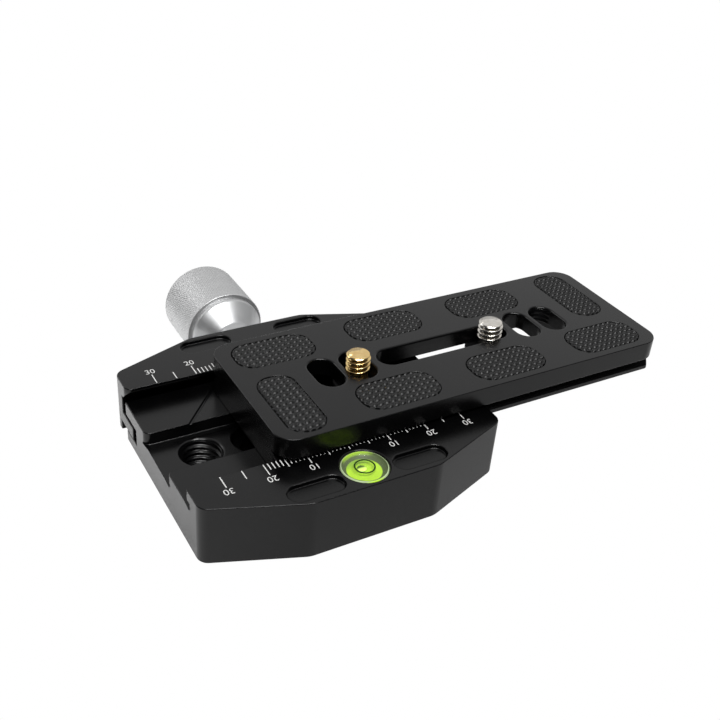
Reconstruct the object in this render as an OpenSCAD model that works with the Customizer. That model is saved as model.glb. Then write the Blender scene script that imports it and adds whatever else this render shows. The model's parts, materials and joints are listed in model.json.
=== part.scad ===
// Quick release clamp for camera heads, with its long dovetail plate slid part way out.
// Millimetres, +Z up. X runs along the dovetail, Y across it. The origin lies on the base plane,
// under the middle of the row of floor holes, and X = 0 is the zero of the engraved scale.
// Each piece is one module; the jaw, the plate and the camera screws are drawn where they rest.

/* [Clamp body] */
// Length of the clamp along the dovetail
clamp_l = 75.5; // [70:0.5:90]
// Width of the clamp with the jaw closed
clamp_w = 68; // [67:0.5:74]
// Height from the base to the top of the jaws
clamp_h = 15; // [14.5:0.25:17]
// How far the long sides drop back towards the ends
taper_drop = 8; // [6:0.5:10]
// Angle of the tapered sides
taper_angle = 20; // [15:1:26]
// Radius of the upright corners at the ends
corner_r = 2.8; // [1:0.2:4]
// Radius of the bends in the long sides
bend_r = 6; // [2:0.5:8]

/* [Dovetail seat] */
// Depth of the plate's seat below the top of the jaws
seat_depth = 4.1; // [3.6:0.1:4.4]
// Width of the sunk channel along the middle
channel_w = 14.4; // [13:0.2:15]
// Depth of the channel below the seat
channel_depth = 3.15; // [2:0.05:3.4]
// Height of the upright nose of each jaw lip
lip_nose = 1; // [0.6:0.1:1.4]
// How far the fixed jaw is cut back under its lip
near_undercut = 1.55; // [1.2:0.05:2]
// Plan radius that eases the seat's edges at both ends
mouth_r = 1.7; // [1:0.1:2.2]
// Play between the plate's flanks and the closed jaws
flank_gap = 0.15; // [0.1:0.01:0.2]

/* [Moving jaw] */
// How far the jaw stands open
jaw_travel = 2.25; // [1:0.05:2.4]
// Far edge of the seat from the middle
seat_far = 21.2; // [21.2:0.1:22]
// Inner wall of the slot that guides the jaw's tongue
slot_wall = 13.95; // [13.5:0.05:14.5]
// Height of the slot's floor
slot_floor = 3; // [2.6:0.1:3.2]
// Height of the slot's roof
slot_roof = 7.4; // [7:0.1:7.6]
// Height of the tongue's top
tongue_top = 6.3; // [6:0.1:6.6]
// Play between the tongue and the slot's floor
tongue_gap = 0.05; // [0.02:0.01:0.1]
// Gap that stays at the tongue's tip and round the seat's far edge when closed
stop_gap = 0.2; // [0.1:0.05:0.4]
// Gap between the closed jaw's skirt and the shelf
skirt_gap = 1.75; // [0.8:0.05:2.5]
// Height of the jaw's underside above the base
skirt_lift = 0.2; // [0.1:0.05:0.5]

/* [Floor holes] */
// Distance of the tapped holes from the middle
tapped_x = 27; // [25:0.5:29]
// Radius of the tapped holes
tapped_r = 4.8; // [4.5:0.05:5]
// Width of the countersink round the tapped holes
tapped_sink = 0.45; // [0.2:0.05:0.8]
// Distance of the bolt holes from the middle
bolt_x = 14; // [13:0.5:15]
// Radius of the bolt holes
bolt_r = 3.2; // [3.1:0.05:3.5]
// Radius of the counterbore for the bolt heads
bolt_head_r = 5.2; // [5:0.1:5.4]
// Depth of the counterbore
bolt_head_depth = 3; // [2:0.1:4]

/* [Spirit level] */
// Distance of the level from the middle line
level_y = 27.5; // [27:0.1:27.7]
// Radius of the level's vial
level_r = 5.42; // [5:0.02:5.5]
// Height of the vial
level_h = 5.4; // [4.5:0.1:6]
// Wall of the vial
level_wall = 0.8; // [0.6:0.1:1]
// How far the vial sits below the jaw's top
level_sunk = 0.1; // [0.05:0.05:0.4]
// Play round the vial
level_gap = 0.08; // [0.05:0.01:0.12]
// Radius of the bubble
bubble_r = 1.5; // [1.2:0.1:2]
// Height of the bubble
bubble_h = 0.6; // [0.4:0.1:0.9]
// How far the bubble has wandered from the centre along X
bubble_x = -1.1; // [-1.6:0.1:1.6]
// Bevel round the vial's pocket
level_bevel = 0.3; // [0.1:0.05:0.4]

/* [Sunk marks] */
// Length of the long dimples in the jaw tops
dimple_l = 13.2; // [11:0.2:14]
// Width of the dimples
dimple_w = 5.2; // [4:0.2:5.4]
// Depth of the dimples
dimple_depth = 1; // [0.5:0.1:1.4]
// Distance of the dimples from the middle along X
dimple_x = 12.9; // [12.9:0.1:13.4]
// Distance of the dimples from the long side
dimple_inset = 4.25; // [4:0.05:4.6]
// Bevel round the dimples
dimple_bevel = 0.25; // [0.1:0.05:0.35]
// Width of the slanting oil groove in the seat
groove_w = 0.6; // [0.4:0.1:1]
// Depth of the oil groove
groove_depth = 0.4; // [0.2:0.1:0.8]
// Angle of the oil groove from the X axis
groove_angle = 48; // [44:1:52]
// Where the oil groove leaves the channel, from the end of the clamp
groove_inset = 11; // [9:0.5:12]

/* [Knob and screw] */
// Height of the clamp screw's axis
screw_z = 6; // [5.8:0.1:6.2]
// Radius of the clamp screw, an M6 thread
screw_r = 3; // [2.9:0.05:3.1]
// Play round the clamp screw in its holes
screw_gap = 0.05; // [0.03:0.01:0.1]
// Wall between the screw's hole and the channel
screw_wall = 0.8; // [0.5:0.1:1.5]
// How far the screw stops short of the knob's outer face
screw_short = 6; // [4:0.5:10]
// Radius of the knob's knurled drum
knob_r = 11; // [9:0.1:12]
// Length of the drum
knob_drum_l = 18.5; // [12:0.5:22]
// Radius of the smooth rim in front of the drum
knob_rim_r = 9.9; // [8:0.1:10.2]
// Width of that rim
knob_rim_w = 1.5; // [1:0.1:3]
// Radius of the knob's neck
knob_neck_r = 5.4; // [5:0.05:6]
// Length of the neck
knob_neck_l = 8; // [6:0.5:10]
// Length of the cone between the neck and the rim
knob_cone_l = 4.5; // [2:0.1:5]
// Chamfer at the knob's outer end
knob_chamfer = 0.6; // [0.3:0.1:1.2]
// Small bevels at the neck's foot and the front of the drum
knob_edge = 0.3; // [0.2:0.05:0.4]

/* [Guides and springs] */
// Distance of the guide pins from the ends of the clamp
pin_inset = 11.75; // [10.5:0.25:13.5]
// Radius of the guide pins
pin_r = 1.25; // [1:0.05:1.4]
// Play of the guide pins in the jaw
pin_gap = 0.04; // [0.03:0.01:0.08]
// How deep the guide pins are pressed into the body
pin_seat = 4.5; // [3:0.5:5.5]
// How far the guide pins reach out of the body
pin_reach = 13; // [11:0.5:13.5]
// Distance of the return springs from the middle
spring_x = 14; // [12:0.5:15]
// Outer radius of the return springs
spring_r = 1.5; // [1.3:0.05:1.55]
// Wire thickness of the return springs
spring_wire = 0.4; // [0.3:0.05:0.5]
// Number of turns of the return springs
spring_turns = 6; // [5:1:8]
// Depth of the spring pockets
spring_depth = 4.5; // [3:0.5:5.5]
// Play round the springs
spring_gap = 0.1; // [0.08:0.02:0.2]

/* [Plate] */
// Length of the plate
plate_l = 109; // [100:1:120]
// Width of the plate's top
plate_w = 41.6; // [40:0.2:44]
// Width of the plate's dovetail at its widest
dovetail_w = 38; // [36.6:0.1:38]
// Height of the widest band above the plate's underside
dovetail_band = 1.75; // [1.2:0.05:2]
// Width of the neck above the dovetail
neck_w = 31.4; // [30:0.2:32]
// Height of the plate
plate_h = 10.45; // [9.8:0.05:12]
// Thickness of the plate's overhanging edges
plate_edge = 5.2; // [4:0.1:5.4]
// Small chamfer on the plate's lower edges
plate_chamfer = 0.7; // [0.3:0.1:1]
// Plan radius of the plate's corners
plate_corner_r = 5; // [3:0.5:6]
// Play between the plate and its seat
plate_gap = 0.03; // [0.02:0.01:0.06]
// How far the plate's middle stands out along X
plate_x = 37.6; // [30:0.1:45]
// Web left above the hollow underside
plate_web = 4.5; // [4:0.1:5]
// Width of the hollow underside
hollow_w = 25; // [22:0.5:26]
// Length of the hollow underside
hollow_l = 78; // [76:1:86]
// Radius of the hollow's corners
hollow_r = 4; // [2:0.5:6]

/* [Plate slots] */
// Width of the camera screw slots
slot_w = 6.8; // [6.6:0.1:7.2]
// Length of the four cross slots
cross_slot_l = 11.8; // [11:0.2:13]
// Distance of the inner cross slots from the plate's middle
inner_slot_x = 24.5; // [24:0.1:25.5]
// Distance of the outer cross slots from the plate's middle
outer_slot_x = 33; // [32.5:0.1:34]
// Length of the long slot
long_slot_l = 37.6; // [36:0.2:39]
// Chamfer round the slots
slot_chamfer = 0.35; // [0.2:0.05:0.8]

/* [Rubber pads] */
// Length of the pads that lie along the plate
pad_l = 20.4; // [18:0.2:21]
// Width of those pads
pad_w = 10.4; // [9:0.2:11]
// Length of the pads that lie across the plate
end_pad_l = 22.4; // [20:0.2:23]
// Width of those pads
end_pad_w = 9.4; // [8:0.2:10]
// Radius of the pads' corners
pad_r = 4.2; // [3:0.2:4.6]
// Depth of the pads' recesses
pad_depth = 1.2; // [0.8:0.1:1.6]
// How far the pads stand above the plate
pad_proud = 0.25; // [0.1:0.05:0.5]
// Gap round each pad in its recess
pad_gap = 0.15; // [0.1:0.05:0.3]

/* [Camera screws] */
// Radius of the camera screws, a quarter-inch thread
stud_r = 3.175; // [3.1:0.025:3.25]
// Radius of the plain neck that leaves the screws loose in their slots
stud_neck_r = 2.6; // [2.4:0.05:2.7]
// Height above the plate where the thread starts
stud_start = 0.1; // [0.05:0.05:0.3]
// How far the brass screw stands above the plate
brass_proud = 3.2; // [2:0.1:6]
// How far the steel screw stands above the plate
steel_proud = 3.1; // [2:0.1:6]
// Chamfer at the screws' tips
stud_chamfer = 0.5; // [0.3:0.1:0.8]
// Radius of the screw heads
head_r = 5.4; // [5:0.1:5.8]
// Height of the screw heads
head_h = 3.2; // [2.4:0.1:3.6]
// Width of the coin slot in the heads
coin_w = 1.4; // [1:0.1:1.8]
// Depth of the coin slot
coin_depth = 1.2; // [0.8:0.1:1.6]
// Thickness of the washer above each head
washer_h = 0.8; // [0.5:0.1:1]
// Radius of the washers
washer_r = 5.8; // [5.4:0.1:6.2]
// Play round the necks in their washers
washer_gap = 0.05; // [0.03:0.01:0.1]
// Where the steel screw stands in its slot, from the plate's middle
steel_x = 14.3; // [-12:0.1:15.3]

/* [Hidden] */
$fn = 96;
over = 1;                                        // how far cutters reach past a face
hair = 0.01;                                     // the same, where a neighbour must stay whole
half_l = clamp_l / 2;
half_w = clamp_w / 2;
flat_half = half_l - taper_drop / tan(taper_angle);
seat_z = clamp_h - seat_depth;
channel_z = seat_z - channel_depth;

// Lips, closed: the plate's flank at nose height, plus the play
dovetail_half = dovetail_w / 2;
flank_z = seat_z + plate_gap + dovetail_band;
lip_z = clamp_h - lip_nose;
lip_y = dovetail_half - (lip_z - flank_z) + flank_gap;
near_wall_y = lip_y + near_undercut;
over_seat_z = seat_z + stop_gap;
far_wall_y = seat_far + stop_gap;
tongue_tip_y = slot_wall + stop_gap;
tongue_z = slot_floor + tongue_gap;
tongue_mid_z = (tongue_z + tongue_top) / 2;
skirt_y = seat_far + skirt_gap;
shelf_y = seat_far - stop_gap;
dimple_y = half_w - dimple_inset;
pin_x = half_l - pin_inset;

// Knob, along its axis from the jaw's outer face
knob_y = half_w + jaw_travel;
cone_end = knob_neck_l + knob_cone_l;
rim_end = cone_end + knob_rim_w;
knob_l = rim_end + knob_drum_l;
screw_hole_end = channel_w / 2 + screw_wall;
screw_tip_y = screw_hole_end + stop_gap + jaw_travel;
screw_end_y = knob_y + knob_l - screw_short;

// Plate
plate_z = seat_z + plate_gap;
plate_top = plate_z + plate_h;
plate_side = plate_w / 2;
edge_z = plate_top - plate_edge;
web_z = plate_top - plate_web;
pad_places = [                                   // centre x and y, then 1 where a pad lies across
    [-40.4, plate_side - 7.4, 0], [-46, 13 - plate_side, 1],
    [-9.6, plate_side - 7.3, 0], [-21, 7.6 - plate_side, 0],
    [21, plate_side - 7.6, 0], [9.6, 7.3 - plate_side, 0],
    [46, plate_side - 13, 1], [40.4, 7.4 - plate_side, 0]
];

// Level
level_top = clamp_h - level_sunk;
level_floor = level_top - level_h;
liquid_z = level_floor + level_wall;
liquid_top = level_top - level_wall;

// Spring wire, as drawn
wire_sides = 8;
steps_a_turn = 20;

// Convex outline with a round of its own radius at each corner, listed anticlockwise as [x, y, r]
module rounded_outline(corners) {
    n = len(corners);
    function unit(v) = v / norm(v);
    function at(i) = [corners[(i + n) % n][0], corners[(i + n) % n][1]];
    function radius(i) = corners[i][2];
    function back(i) = unit(at(i - 1) - at(i));
    function ahead(i) = unit(at(i + 1) - at(i));
    function half_angle(i) = acos(back(i) * ahead(i)) / 2;
    function run(i) = radius(i) / tan(half_angle(i));
    polygon([for (i = [0:n - 1]) for (p = [at(i) + back(i) * run(i), at(i) + ahead(i) * run(i)]) p]);
    for (i = [0:n - 1])
        translate(at(i) + unit(back(i) + ahead(i)) * radius(i) / sin(half_angle(i)))
            circle(r = radius(i));
}

// Rectangle about the origin with round corners
module rounded_rectangle(l, w, r) {
    rounded_outline([[l / 2, w / 2, r], [-l / 2, w / 2, r], [-l / 2, -w / 2, r], [l / 2, -w / 2, r]]);
}

// Slot with half-round ends, long along X
module obround(l, w) {
    square([l - w, w], center = true);
    for (side = [-1, 1])
        translate([side * (l - w) / 2, 0])
            circle(d = w);
}

// Cutter that bevels the rim of such a slot, where the rim lies at z = 0
module obround_bevel(l, w, bevel) {
    reach = bevel + over;
    for (side = [-1, 1])
        translate([side * (l - w) / 2, 0, -bevel])
            cylinder(r1 = w / 2, r2 = w / 2 + reach, h = reach);
    run_along(l - w)
        polygon([[-w / 2, -bevel], [w / 2, -bevel], [w / 2 + reach, over], [-w / 2 - reach, over]]);
}

// A section drawn across the clamp, run along X and centred
module run_along(length) {
    rotate([90, 0, 90])
        translate([0, 0, -length / 2])
            linear_extrude(height = length)
                children();
}

// A cylinder along Y from one y to another
module along_y(y1, y2, r, x = 0, z = screw_z) {
    translate([x, y2, z])
        rotate([90, 0, 0])
            cylinder(r = r, h = y2 - y1);
}

// Eight-sided plan of the closed clamp
module clamp_plan() {
    rounded_outline([
        [half_l, half_w - taper_drop, corner_r], [flat_half, half_w, bend_r],
        [-flat_half, half_w, bend_r], [-half_l, half_w - taper_drop, corner_r],
        [-half_l, taper_drop - half_w, corner_r], [-flat_half, -half_w, bend_r],
        [flat_half, -half_w, bend_r], [half_l, taper_drop - half_w, corner_r]
    ]);
}

// Rounds the corner between a wall that runs along X and both end faces.
// The wall stands at y, and the solid lies on the side that the sign of out points to.
module mouth_relief(y, out, z1, z2) {
    for (end = [0, 1])
        mirror([end, 0, 0])
            translate([half_l - mouth_r, y + out * mouth_r, z1])
                linear_extrude(height = z2 - z1)
                    difference() {
                        mirror([0, out > 0 ? 1 : 0])
                            square([mouth_r + over, mouth_r + hair]);
                        circle(r = mouth_r);
                    }
}

// Two dimples beside the middle of a jaw's top
module dimples(y) {
    for (side = [-1, 1])
        translate([side * dimple_x, y, clamp_h]) {
            translate([0, 0, -dimple_depth])
                linear_extrude(height = dimple_depth + over)
                    obround(dimple_l, dimple_w);
            obround_bevel(dimple_l, dimple_w, dimple_bevel);
        }
}

module body_section() {
    polygon([
        [-half_w, 0], [shelf_y, 0], [shelf_y, slot_floor], [slot_wall, slot_floor],
        [slot_wall, slot_roof], [seat_far, slot_roof], [seat_far, seat_z], [channel_w / 2, seat_z],
        [channel_w / 2, channel_z], [-channel_w / 2, channel_z], [-channel_w / 2, seat_z],
        [-near_wall_y, seat_z], [-near_wall_y, lip_z - near_undercut], [-lip_y, lip_z],
        [-lip_y, clamp_h], [-half_w, clamp_h]
    ]);
}

module level_pocket() {
    pocket_r = level_r + level_gap;
    translate([0, -level_y, level_floor])
        cylinder(r = pocket_r, h = level_h + over);
    translate([0, -level_y, clamp_h - level_bevel])
        cylinder(r1 = pocket_r, r2 = pocket_r + level_bevel + over, h = level_bevel + over);
}

module floor_holes() {
    for (side = [-1, 1]) {
        translate([side * tapped_x, 0, -over])
            cylinder(r = tapped_r, h = channel_z + 2 * over);
        translate([side * tapped_x, 0, channel_z - tapped_sink])
            cylinder(r1 = tapped_r, r2 = tapped_r + tapped_sink + over, h = tapped_sink + over);
        translate([side * bolt_x, 0, -over])
            cylinder(r = bolt_r, h = channel_z + 2 * over);
        translate([side * bolt_x, 0, channel_z - bolt_head_depth])
            cylinder(r = bolt_head_r, h = bolt_head_depth + over);
    }
}

module oil_grooves() {
    groove_run = (seat_far - channel_w / 2) / sin(groove_angle);
    for (end = [0, 1])
        mirror([end, 0, 0])
            translate([groove_inset - half_l, channel_w / 2, seat_z - groove_depth])
                rotate([0, 0, groove_angle])
                    translate([-over, -groove_w / 2, 0])
                        cube([groove_run + 3 * over, groove_w, groove_depth + over]);
}

module clamp_body() {
    color("#2b2c2e")
        difference() {
            intersection() {
                run_along(clamp_l)
                    body_section();
                linear_extrude(height = clamp_h)
                    clamp_plan();
            }
            floor_holes();
            oil_grooves();
            dimples(-dimple_y);
            mouth_relief(-channel_w / 2, -1, channel_z, seat_z + over);
            mouth_relief(channel_w / 2, 1, channel_z, seat_z + over);
            mouth_relief(-lip_y, -1, seat_z, clamp_h + over);
            mouth_relief(-near_wall_y, -1, seat_z, lip_z - near_undercut);
            level_pocket();
            along_y(screw_hole_end, seat_far + over, screw_r + screw_gap);
            for (side = [-1, 1]) {
                along_y(slot_wall - pin_seat, slot_wall + over, pin_r, side * pin_x, tongue_mid_z);
                along_y(slot_wall - spring_depth, slot_wall + over, spring_r + spring_gap,
                    side * spring_x, tongue_mid_z);
            }
        }
}

module jaw_section() {
    polygon([
        [lip_y, lip_z], [lip_y + lip_z - over_seat_z, over_seat_z], [far_wall_y, over_seat_z],
        [far_wall_y, tongue_top], [tongue_tip_y, tongue_top], [tongue_tip_y, tongue_z],
        [skirt_y, tongue_z],
        [skirt_y, skirt_lift], [half_w, skirt_lift], [half_w, clamp_h], [lip_y, clamp_h]
    ]);
}

module movable_jaw() {
    color("#333436")
        translate([0, jaw_travel, 0])
            difference() {
                intersection() {
                    run_along(clamp_l)
                        jaw_section();
                    linear_extrude(height = clamp_h)
                        clamp_plan();
                }
                dimples(dimple_y);
                mouth_relief(lip_y, 1, lip_z - 2 * over, clamp_h + over);
                along_y(tongue_tip_y - over, half_w + over, screw_r + screw_gap);
                for (side = [-1, 1])
                    along_y(tongue_tip_y - over, slot_wall + pin_reach + stop_gap, pin_r + pin_gap,
                        side * pin_x, tongue_mid_z);
            }
}

module clamp_screw() {
    color("#b9bbbd")
        difference() {
            along_y(screw_tip_y, screw_end_y, screw_r);
            translate([0, screw_tip_y - hair, screw_z])
                rotate([-90, 0, 0])
                    difference() {
                        cylinder(r = screw_r + over, h = stud_chamfer);
                        cylinder(r1 = screw_r - stud_chamfer, r2 = screw_r, h = stud_chamfer);
                    }
        }
}

module knob() {
    color("#c9cacc")
        translate([0, knob_y, screw_z])
            rotate([-90, 0, 0])
                difference() {
                    rotate_extrude()
                        polygon([
                            [0, 0], [knob_neck_r - knob_edge, 0], [knob_neck_r, knob_edge],
                            [knob_neck_r, knob_neck_l], [knob_rim_r, cone_end], [knob_rim_r, rim_end],
                            [knob_r - knob_edge, rim_end], [knob_r, rim_end + knob_edge],
                            [knob_r, knob_l - knob_chamfer], [knob_r - knob_chamfer, knob_l],
                            [0, knob_l]
                        ]);
                    translate([0, 0, -over])
                        cylinder(r = screw_r, h = screw_end_y - knob_y + over);
                }
}

// A guide pin: pressed into the body, it carries the jaw
module guide_pin(side) {
    color("#9a9c9e")
        along_y(slot_wall - pin_seat, slot_wall + pin_reach, pin_r, side * pin_x, tongue_mid_z);
}

// A return spring between the bottom of its pocket and the tongue's tip, wound from round wire.
// Each ring of points lies across the helix, and a flat cap closes each end.
module return_spring(side) {
    start = slot_wall - spring_depth;
    climb = tongue_tip_y + jaw_travel - start - spring_wire;
    wire_r = spring_wire / 2;
    coil_r = spring_r - wire_r;
    steps = spring_turns * steps_a_turn;
    function wire_point(i, j) =
        let (turn = 360 * i / steps_a_turn, round = 360 * j / wire_sides)
        let (r = coil_r + wire_r * cos(round), rise = wire_r * (1 + sin(round)))
        [r * cos(turn), r * sin(turn), rise + climb * i / steps];
    function at(i, j) = i * wire_sides + j % wire_sides;
    color("#8f9193")
        translate([side * spring_x, start, tongue_mid_z])
            rotate([-90, 0, 0])
                polyhedron(
                    points = [for (i = [0:steps], j = [0:wire_sides - 1]) wire_point(i, j)],
                    faces = concat(
                        [[for (j = [wire_sides - 1:-1:0]) at(0, j)]],
                        [[for (j = [0:wire_sides - 1]) at(steps, j)]],
                        [for (i = [0:steps - 1], j = [0:wire_sides - 1])
                            [at(i, j), at(i + 1, j + 1), at(i + 1, j)]],
                        [for (i = [0:steps - 1], j = [0:wire_sides - 1])
                            [at(i, j), at(i, j + 1), at(i + 1, j + 1)]]
                    )
                );
}

module level_vial() {
    color("#c8d64a")
        translate([0, -level_y, 0])
            difference() {
                translate([0, 0, level_floor])
                    cylinder(r = level_r, h = level_h);
                translate([0, 0, liquid_z])
                    cylinder(r = level_r - level_wall, h = liquid_top - liquid_z);
            }
}

module bubble_shape() {
    ball_r = (bubble_r * bubble_r + bubble_h * bubble_h) / (2 * bubble_h);
    translate([bubble_x, -level_y, liquid_top - bubble_h])
        intersection() {
            translate([0, 0, ball_r])
                sphere(r = ball_r);
            cylinder(r = 2 * bubble_r, h = bubble_h);
        }
}

module level_liquid() {
    color("#a4d41f")
        difference() {
            translate([0, -level_y, liquid_z])
                cylinder(r = level_r - level_wall, h = liquid_top - liquid_z);
            bubble_shape();
        }
}

module level_bubble() {
    color("#eef6c0")
        bubble_shape();
}

module plate_section() {
    neck_z = flank_z + (dovetail_half - neck_w / 2);
    right_half = [
        [dovetail_half - plate_chamfer, plate_z], [dovetail_half, plate_z + plate_chamfer],
        [dovetail_half, flank_z], [neck_w / 2, neck_z], [neck_w / 2, edge_z],
        [plate_w / 2, edge_z], [plate_w / 2, plate_top]
    ];
    n = len(right_half);
    polygon(concat(right_half, [for (i = [n - 1:-1:0]) [-right_half[i][0], right_half[i][1]]]));
}

// Through slot with a small chamfer round its upper rim
module plate_slot(l) {
    translate([0, 0, web_z - over])
        linear_extrude(height = plate_web + 2 * over)
            obround(l, slot_w);
    translate([0, 0, plate_top])
        obround_bevel(l, slot_w, slot_chamfer);
}

module plate_slots() {
    plate_slot(long_slot_l);
    for (x = [-outer_slot_x, -inner_slot_x, inner_slot_x, outer_slot_x])
        translate([x, 0, 0])
            rotate([0, 0, 90])
                plate_slot(cross_slot_l);
}

// Plan of one pad, grown by a gap for its recess
module pad_plan(place, gap) {
    across = place[2] == 1;
    l = across ? end_pad_w : pad_l;
    w = across ? end_pad_l : pad_w;
    translate([place[0], place[1]])
        rounded_rectangle(l + 2 * gap, w + 2 * gap, pad_r + gap);
}

module quick_release_plate() {
    color("#303133")
        translate([plate_x, 0, 0])
            difference() {
                intersection() {
                    run_along(plate_l)
                        plate_section();
                    linear_extrude(height = plate_top)
                        rounded_rectangle(plate_l, plate_w, plate_corner_r);
                }
                translate([0, 0, plate_z - over])
                    linear_extrude(height = web_z - plate_z + over)
                        rounded_rectangle(hollow_l, hollow_w, hollow_r);
                plate_slots();
                for (place = pad_places)
                    translate([0, 0, plate_top - pad_depth])
                        linear_extrude(height = pad_depth + over)
                            pad_plan(place, pad_gap);
            }
}

module pad(i) {
    color("#1d1e1f")
        translate([plate_x, 0, plate_top - pad_depth])
            linear_extrude(height = pad_depth + pad_proud)
                pad_plan(pad_places[i - 1], 0);
}

// Camera screw about its own axis: a slotted head in the hollow, a plain neck, and the stud
module camera_screw(proud) {
    head_top = web_z - washer_gap - washer_h - washer_gap;
    thread_z = plate_top + stud_start;
    tip = plate_top + proud;
    difference() {
        union() {
            translate([0, 0, head_top - head_h])
                cylinder(r = head_r, h = head_h);
            translate([0, 0, head_top])
                cylinder(r = stud_neck_r, h = thread_z - head_top);
            translate([0, 0, thread_z])
                cylinder(r = stud_r, h = tip - thread_z - stud_chamfer);
            translate([0, 0, tip - stud_chamfer])
                cylinder(r1 = stud_r, r2 = stud_r - stud_chamfer, h = stud_chamfer);
        }
        translate([-head_r - over, -coin_w / 2, head_top - head_h - over])
            cube([2 * head_r + 2 * over, coin_w, coin_depth + over]);
    }
}

module screw_washer() {
    translate([0, 0, web_z - washer_gap - washer_h])
        difference() {
            cylinder(r = washer_r, h = washer_h);
            translate([0, 0, -over])
                cylinder(r = stud_neck_r + washer_gap, h = washer_h + 2 * over);
        }
}

module brass_screw() {
    color("#d9b96a")
        translate([plate_x - inner_slot_x, 0, 0])
            camera_screw(brass_proud);
}

module brass_screw_washer() {
    color("#26272a")
        translate([plate_x - inner_slot_x, 0, 0])
            screw_washer();
}

module steel_screw() {
    color("#c4c2bd")
        translate([plate_x + steel_x, 0, 0])
            camera_screw(steel_proud);
}

module steel_screw_washer() {
    color("#26272a")
        translate([plate_x + steel_x, 0, 0])
            screw_washer();
}

clamp_body();
movable_jaw();
clamp_screw();
knob();
guide_pin(-1);  // guide_pin_left
guide_pin(1);  // guide_pin_right
return_spring(-1);  // spring_left
return_spring(1);  // spring_right
level_vial();
level_liquid();
level_bubble();
quick_release_plate();
pad(1);  // pad_1
pad(2);  // pad_2
pad(3);  // pad_3
pad(4);  // pad_4
pad(5);  // pad_5
pad(6);  // pad_6
pad(7);  // pad_7
pad(8);  // pad_8
brass_screw();
brass_screw_washer();
steel_screw();
steel_screw_washer();
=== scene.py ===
"""Looks of a quick release clamp with its long camera plate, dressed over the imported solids.

Lengths are written in millimetres and turned into metres by MM. The frame is the clamp's own:
+X along the dovetail, +Y towards the knob, +Z up, with the origin on the base plane.
"""
from __future__ import annotations

import json
import logging
import math
from dataclasses import dataclass
from enum import Enum
from typing import Any

import bmesh
import bpy
import numpy as np
from mathutils import Matrix, Vector

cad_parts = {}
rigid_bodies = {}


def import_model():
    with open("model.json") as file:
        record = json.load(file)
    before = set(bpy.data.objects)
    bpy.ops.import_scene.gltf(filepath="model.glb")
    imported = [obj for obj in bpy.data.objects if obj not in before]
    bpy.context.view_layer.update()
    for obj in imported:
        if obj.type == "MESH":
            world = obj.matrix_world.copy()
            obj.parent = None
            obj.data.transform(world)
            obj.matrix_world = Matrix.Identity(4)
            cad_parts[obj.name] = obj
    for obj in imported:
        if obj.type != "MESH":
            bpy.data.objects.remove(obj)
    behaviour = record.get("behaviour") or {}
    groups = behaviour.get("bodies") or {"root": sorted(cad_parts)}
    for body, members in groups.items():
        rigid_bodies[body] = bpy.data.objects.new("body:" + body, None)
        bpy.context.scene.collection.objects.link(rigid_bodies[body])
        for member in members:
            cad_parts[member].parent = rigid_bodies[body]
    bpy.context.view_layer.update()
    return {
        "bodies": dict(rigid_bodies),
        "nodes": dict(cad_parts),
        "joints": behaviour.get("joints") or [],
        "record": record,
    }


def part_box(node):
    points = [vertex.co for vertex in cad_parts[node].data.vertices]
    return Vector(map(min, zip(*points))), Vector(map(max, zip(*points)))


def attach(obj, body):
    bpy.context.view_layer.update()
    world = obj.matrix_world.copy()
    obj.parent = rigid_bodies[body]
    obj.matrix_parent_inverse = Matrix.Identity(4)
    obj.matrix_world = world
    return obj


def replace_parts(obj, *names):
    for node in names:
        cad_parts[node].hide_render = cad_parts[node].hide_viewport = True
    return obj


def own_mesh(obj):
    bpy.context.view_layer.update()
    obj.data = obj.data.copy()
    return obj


MM = 0.001
TURN = 2.0 * math.pi

# Eased edges: merged points, faces taken as flat, edges taken as sharp, and the free length beside
# an edge that a rounded edge needs, in widths.
MERGE_M = 2e-6
FLAT_DEG = 0.6
SHARP_DEG = 28.0
ROOM_WIDTHS = 2.4
# Ranges of distance from the middle, Y and Z in millimetres where the fixed jaw's lip runs out.
LIP_END = ((35.5, 38.0), (-21.0, -17.0), (11.5, 15.2))

LOG = logging.getLogger("clamp")

Array = np.ndarray
Colour = tuple[float, float, float]


# Shader expressions


class Signal:
    """A shader socket that adds Math nodes when it is used in an expression."""

    def __init__(self, graph: "Graph", socket: Any) -> None:
        self.graph = graph
        self.socket = socket

    def _math(self, operation: str, *values: Any) -> "Signal":
        """Adds one Math node over the given values."""
        return self.graph.add("ShaderNodeMath", {"operation": operation}, dict(enumerate(values)))

    def __add__(self, other: Any) -> "Signal":
        """Sum."""
        return self._math("ADD", self, other)

    __radd__ = __add__

    def __sub__(self, other: Any) -> "Signal":
        """Difference."""
        return self._math("SUBTRACT", self, other)

    def __mul__(self, other: Any) -> "Signal":
        """Product."""
        return self._math("MULTIPLY", self, other)

    __rmul__ = __mul__

    def sine(self) -> "Signal":
        """Sine of the value in radians."""
        return self._math("SINE", self)

    def root(self) -> "Signal":
        """Square root."""
        return self._math("SQRT", self)

    def ramp(self, low: float, high: float) -> "Signal":
        """Rises smoothly from 0 at low to 1 at high.

        Args:
            low: Value where the ramp starts.
            high: Value where it ends.

        Returns:
            The smooth step between the two.
        """
        return self.graph.add(
            "ShaderNodeMapRange",
            {"interpolation_type": "SMOOTHSTEP"},
            {"Value": self, "From Min": low, "From Max": high},
        )


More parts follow.
